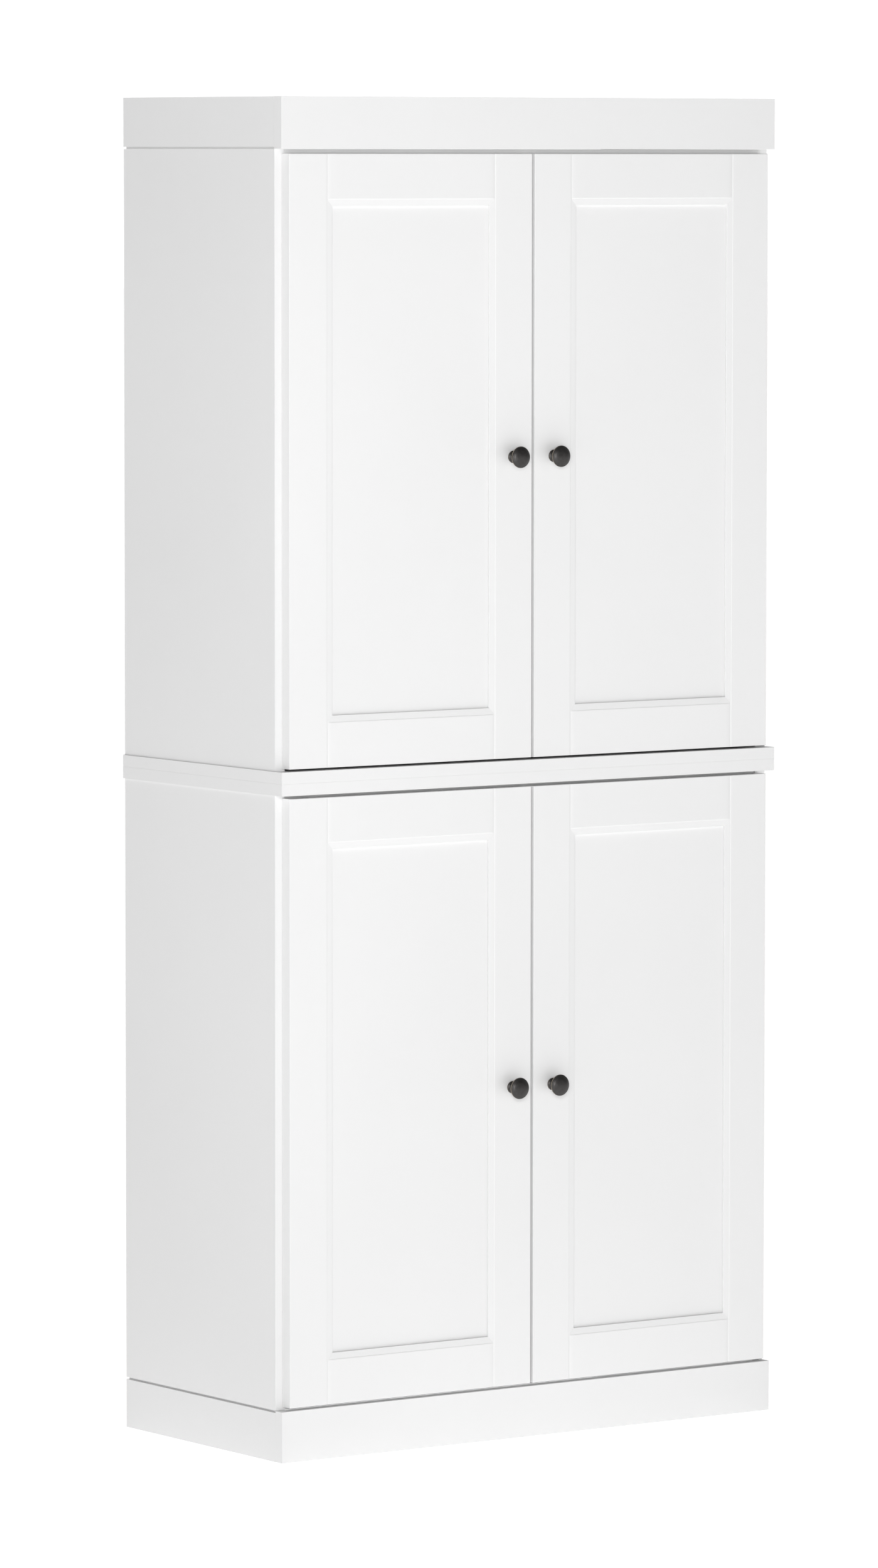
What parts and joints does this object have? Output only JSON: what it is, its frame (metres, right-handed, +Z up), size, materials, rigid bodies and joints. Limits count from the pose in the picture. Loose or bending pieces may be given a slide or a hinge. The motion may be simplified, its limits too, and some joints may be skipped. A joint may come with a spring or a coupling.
{
  "type": "pantry cabinet",
  "caption": "Tall freestanding pantry cabinet: two stacked units with paired frame-and-panel doors on concealed hinges, round knobs, shelves, a plinth and a plain crown.",
  "frame": {"origin": "on the floor under the middle of the whole object, knobs included", "axes": "+Z up, the doors face -Y, +X to the right of a person who faces the doors"},
  "size_m": [0.83, 0.416, 1.84],
  "materials": {
    "board_lacquer": "satin white lacquer on board",
    "door_lacquer": "satin white lacquer on board",
    "back_hardboard": "raw hardboard outside, white inside",
    "knob_bronze": "dark oil-rubbed bronze",
    "hinge_nickel": "nickel plated"
  },
  "bodies": {
    "cabinet": {"plinth_front": "board_lacquer", "lower_top_rail": "board_lacquer", "plinth_left": "board_lacquer", "plinth_right": "board_lacquer", "lower_bottom_panel": "board_lacquer", "lower_top_board": "board_lacquer", "upper_bottom_board": "board_lacquer", "upper_top_panel": "board_lacquer", "crown_front": "board_lacquer", "crown_left": "board_lacquer", "crown_right": "board_lacquer", "lower_left_side_panel": "board_lacquer", "lower_right_side_panel": "board_lacquer", "lower_back_panel": "back_hardboard", "upper_left_side_panel": "board_lacquer", "upper_right_side_panel": "board_lacquer", "upper_back_panel": "back_hardboard", "lower_shelf_1": "board_lacquer", "upper_shelf_1": "board_lacquer", "upper_shelf_2": "board_lacquer", "lower_left_hinge_arm_bottom": "hinge_nickel", "lower_left_hinge_arm_top": "hinge_nickel", "lower_right_hinge_arm_bottom": "hinge_nickel", "lower_right_hinge_arm_top": "hinge_nickel", "upper_left_hinge_arm_bottom": "hinge_nickel", "upper_left_hinge_arm_top": "hinge_nickel", "upper_right_hinge_arm_bottom": "hinge_nickel", "upper_right_hinge_arm_top": "hinge_nickel"},
    "lower_left_door": {"lower_left_door_hinge_stile": "door_lacquer", "lower_left_door_meeting_stile": "door_lacquer", "lower_left_door_top_rail": "door_lacquer", "lower_left_door_bottom_rail": "door_lacquer", "lower_left_door_panel": "door_lacquer", "lower_left_knob": "knob_bronze", "lower_left_hinge_cup_bottom": "hinge_nickel", "lower_left_hinge_cup_top": "hinge_nickel"},
    "lower_right_door": {"lower_right_door_hinge_stile": "door_lacquer", "lower_right_door_meeting_stile": "door_lacquer", "lower_right_door_top_rail": "door_lacquer", "lower_right_door_bottom_rail": "door_lacquer", "lower_right_door_panel": "door_lacquer", "lower_right_knob": "knob_bronze", "lower_right_hinge_cup_bottom": "hinge_nickel", "lower_right_hinge_cup_top": "hinge_nickel"},
    "upper_left_door": {"upper_left_door_hinge_stile": "door_lacquer", "upper_left_door_meeting_stile": "door_lacquer", "upper_left_door_top_rail": "door_lacquer", "upper_left_door_bottom_rail": "door_lacquer", "upper_left_door_panel": "door_lacquer", "upper_left_knob": "knob_bronze", "upper_left_hinge_cup_bottom": "hinge_nickel", "upper_left_hinge_cup_top": "hinge_nickel"},
    "upper_right_door": {"upper_right_door_hinge_stile": "door_lacquer", "upper_right_door_meeting_stile": "door_lacquer", "upper_right_door_top_rail": "door_lacquer", "upper_right_door_bottom_rail": "door_lacquer", "upper_right_door_panel": "door_lacquer", "upper_right_knob": "knob_bronze", "upper_right_hinge_cup_bottom": "hinge_nickel", "upper_right_hinge_cup_top": "hinge_nickel"}
  },
  "joints": [
    {"name": "lower_left_door_hinge", "type": "hinge", "parent": "cabinet", "child": "lower_left_door", "pos_m": [-0.4005, -0.17125, 0.487], "axis": [0, 0, -1], "range_deg": [0, 110]},
    {"name": "lower_right_door_hinge", "type": "hinge", "parent": "cabinet", "child": "lower_right_door", "pos_m": [0.4005, -0.17125, 0.487], "axis": [0, 0, 1], "range_deg": [0, 110]},
    {"name": "upper_left_door_hinge", "type": "hinge", "parent": "cabinet", "child": "upper_left_door", "pos_m": [-0.4005, -0.17125, 1.35163], "axis": [0, 0, -1], "range_deg": [0, 110]},
    {"name": "upper_right_door_hinge", "type": "hinge", "parent": "cabinet", "child": "upper_right_door", "pos_m": [0.4005, -0.17125, 1.35163], "axis": [0, 0, 1], "range_deg": [0, 110]}
  ]
}
